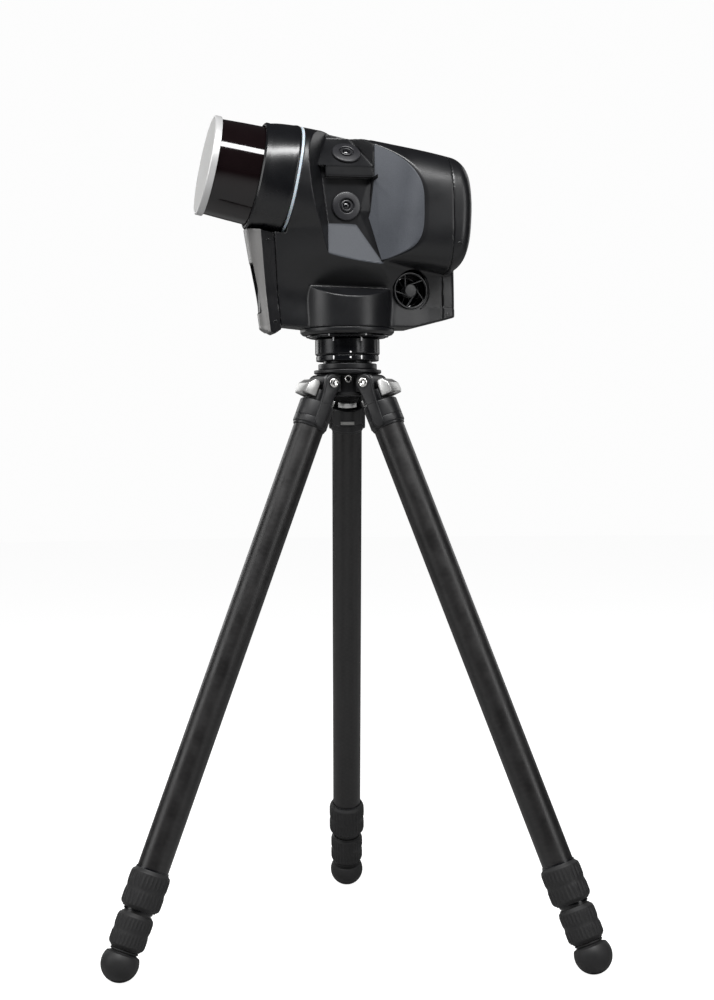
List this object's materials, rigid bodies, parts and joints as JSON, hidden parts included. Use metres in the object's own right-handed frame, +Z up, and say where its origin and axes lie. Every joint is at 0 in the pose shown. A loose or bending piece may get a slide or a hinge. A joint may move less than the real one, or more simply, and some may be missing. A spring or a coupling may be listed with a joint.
{
  "type": "terrestrial laser scanner",
  "caption": "Tilted lidar scanning head on a pan turret and a quick-release, standing on a tripod with telescopic twist-lock legs.",
  "frame": {"origin": "on the floor, at the middle of the footprint of the whole object", "axes": "+Z up, -X is the way the scanning head faces, -Y is the side with the visible cameras in the picture"},
  "size_m": [0.4462, 0.4288, 0.778],
  "materials": {
    "satin_black": "satin black painted housing",
    "textured_grey": "finely textured dark grey",
    "front_cover_grey": "satin grey cover",
    "satin_silver": "fine satin aluminium with a polished edge",
    "polished_steel": "polished stainless steel",
    "tinted_window": "near-black infrared window with a faint red tint",
    "status_light": "pale diffusing light guide",
    "black_anodised": "black anodised aluminium",
    "carbon_tube": "satin carbon-fibre tube",
    "rubber": "black ribbed rubber",
    "circuit_board": "circuit board laminate",
    "battery_case": "moulded battery case"
  },
  "bodies": {
    "tripod_head": {"spider": "black_anodised", "top_plate": "black_anodised", "front_plug": "polished_steel", "quick_release_base": "black_anodised", "head_adapter": "black_anodised", "bearing_inner_race": "polished_steel", "pan_ring_gear": "polished_steel", "hinge_bolt_rear": "polished_steel", "hinge_bolt_left": "polished_steel", "hinge_bolt_right": "polished_steel"},
    "clamp_ring": {"clamp_ring": "black_anodised"},
    "scan_head": {"housing_left": "satin_black", "housing_right": "satin_black", "rear_cover": "satin_black", "front_cover": "front_cover_grey", "turret_floor": "satin_black", "bearing_outer_race": "polished_steel", "pan_motor": "satin_black", "lidar_collar": "satin_black", "light_ring": "status_light", "lidar_cap": "satin_silver", "lidar_window": "tinted_window", "lidar_base": "satin_black", "side_panel_left": "textured_grey", "side_panel_right": "textured_grey", "camera_lower_left": "satin_black", "camera_upper_left": "satin_black", "camera_lower_right": "satin_black", "camera_upper_right": "satin_black", "fan_guard_left": "satin_black", "fan_guard_right": "satin_black", "battery_pack": "battery_case", "main_board": "circuit_board"},
    "pan_pinion": {"pan_pinion": "polished_steel"},
    "lidar_core": {"lidar_rotor": "satin_black"},
    "fan": {"cooling_fan": "satin_black"},
    "leg_rear": {"leg_yoke_rear": "black_anodised", "upper_tube_rear": "carbon_tube"},
    "tab_rear": {"angle_tab_rear": "satin_silver"},
    "upper_collar_rear": {"upper_lock_rear": "rubber"},
    "middle_section_rear": {"middle_tube_rear": "carbon_tube"},
    "lower_collar_rear": {"lower_lock_rear": "rubber"},
    "lower_section_rear": {"lower_tube_rear": "carbon_tube", "foot_rear": "rubber"},
    "leg_left": {"leg_yoke_left": "black_anodised", "upper_tube_left": "carbon_tube"},
    "tab_left": {"angle_tab_left": "satin_silver"},
    "upper_collar_left": {"upper_lock_left": "rubber"},
    "middle_section_left": {"middle_tube_left": "carbon_tube"},
    "lower_collar_left": {"lower_lock_left": "rubber"},
    "lower_section_left": {"lower_tube_left": "carbon_tube", "foot_left": "rubber"},
    "leg_right": {"leg_yoke_right": "black_anodised", "upper_tube_right": "carbon_tube"},
    "tab_right": {"angle_tab_right": "satin_silver"},
    "upper_collar_right": {"upper_lock_right": "rubber"},
    "middle_section_right": {"middle_tube_right": "carbon_tube"},
    "lower_collar_right": {"lower_lock_right": "rubber"},
    "lower_section_right": {"lower_tube_right": "carbon_tube", "foot_right": "rubber"}
  },
  "joints": [
    {"name": "clamp_twist", "type": "hinge", "parent": "tripod_head", "child": "clamp_ring", "pos_m": [0.0219, -0.0405, 0.564], "axis": [0, 0, 1], "range_deg": [0, 40]},
    {"name": "head_pan", "type": "hinge", "parent": "tripod_head", "child": "scan_head", "pos_m": [0.0219, -0.0405, 0.58], "axis": [0, 0, 1], "continuous": true},
    {"name": "pinion_spin", "type": "hinge", "parent": "scan_head", "child": "pan_pinion", "pos_m": [0.05025, -0.0405, 0.59], "axis": [0, 0, 1], "continuous": true},
    {"name": "lidar_spin", "type": "hinge", "parent": "scan_head", "child": "lidar_core", "pos_m": [-0.1117, -0.0405, 0.7327], "axis": [-0.9806, 0, 0.1959], "continuous": true},
    {"name": "fan_spin", "type": "hinge", "parent": "scan_head", "child": "fan", "pos_m": [0.0781, -0.0405, 0.616], "axis": [0, 1, 0], "continuous": true},
    {"name": "leg_fold_rear", "type": "hinge", "parent": "tripod_head", "child": "leg_rear", "pos_m": [0.02654, -0.01534, 0.53], "axis": [-0.9834, 0.1814, 0], "range_deg": [0, 22.8]},
    {"name": "tab_pull_rear", "type": "slide", "parent": "leg_rear", "child": "tab_rear", "axis": [0.1671, 0.9062, 0.3884], "range_m": [0, 0.006], "stiffness_N_per_m": 300},
    {"name": "upper_twist_rear", "type": "hinge", "parent": "leg_rear", "child": "upper_collar_rear", "pos_m": [0.06105, 0.17179, 0.07846], "axis": [0.0704, 0.3819, -0.9215], "range_deg": [0, 90]},
    {"name": "middle_extend_rear", "type": "slide", "parent": "leg_rear", "child": "middle_section_rear", "axis": [0.0704, 0.3819, -0.9215], "range_m": [0, 0.35]},
    {"name": "lower_twist_rear", "type": "hinge", "parent": "middle_section_rear", "child": "lower_collar_rear", "pos_m": [0.06373, 0.1863, 0.04344], "axis": [0.0704, 0.3819, -0.9215], "range_deg": [0, 90]},
    {"name": "lower_extend_rear", "type": "slide", "parent": "middle_section_rear", "child": "lower_section_rear", "axis": [0.0704, 0.3819, -0.9215], "range_m": [0, 0.35]},
    {"name": "leg_fold_left", "type": "hinge", "parent": "tripod_head", "child": "leg_left", "pos_m": [-0.0022, -0.04906, 0.53], "axis": [0.3346, -0.9423, 0], "range_deg": [0, 22.8]},
    {"name": "tab_pull_left", "type": "slide", "parent": "leg_left", "child": "tab_left", "axis": [-0.8684, -0.3084, 0.3884], "range_m": [0, 0.006], "stiffness_N_per_m": 300},
    {"name": "upper_twist_left", "type": "hinge", "parent": "leg_left", "child": "upper_collar_left", "pos_m": [-0.18153, -0.11274, 0.07846], "axis": [-0.366, -0.13, -0.9215], "range_deg": [0, 90]},
    {"name": "middle_extend_left", "type": "slide", "parent": "leg_left", "child": "middle_section_left", "axis": [-0.366, -0.13, -0.9215], "range_m": [0, 0.35]},
    {"name": "lower_twist_left", "type": "hinge", "parent": "middle_section_left", "child": "lower_collar_left", "pos_m": [-0.19543, -0.11768, 0.04344], "axis": [-0.366, -0.13, -0.9215], "range_deg": [0, 90]},
    {"name": "lower_extend_left", "type": "slide", "parent": "middle_section_left", "child": "lower_section_left", "axis": [-0.366, -0.13, -0.9215], "range_m": [0, 0.35]},
    {"name": "leg_fold_right", "type": "hinge", "parent": "tripod_head", "child": "leg_right", "pos_m": [0.04137, -0.0571, 0.53], "axis": [0.6488, 0.761, 0], "range_deg": [0, 22.8]},
    {"name": "tab_pull_right", "type": "slide", "parent": "leg_right", "child": "tab_right", "axis": [0.7012, -0.5979, 0.3884], "range_m": [0, 0.006], "stiffness_N_per_m": 300},
    {"name": "upper_twist_right", "type": "hinge", "parent": "leg_right", "child": "upper_collar_right", "pos_m": [0.18617, -0.18055, 0.07846], "axis": [0.2955, -0.252, -0.9215], "range_deg": [0, 90]},
    {"name": "middle_extend_right", "type": "slide", "parent": "leg_right", "child": "middle_section_right", "axis": [0.2955, -0.252, -0.9215], "range_m": [0, 0.35]},
    {"name": "lower_twist_right", "type": "hinge", "parent": "middle_section_right", "child": "lower_collar_right", "pos_m": [0.1974, -0.19013, 0.04344], "axis": [0.2955, -0.252, -0.9215], "range_deg": [0, 90]},
    {"name": "lower_extend_right", "type": "slide", "parent": "middle_section_right", "child": "lower_section_right", "axis": [0.2955, -0.252, -0.9215], "range_m": [0, 0.35]}
  ],
  "couplings": [
    {"joint": "pinion_spin", "follows": "head_pan", "ratio": 3}
  ]
}
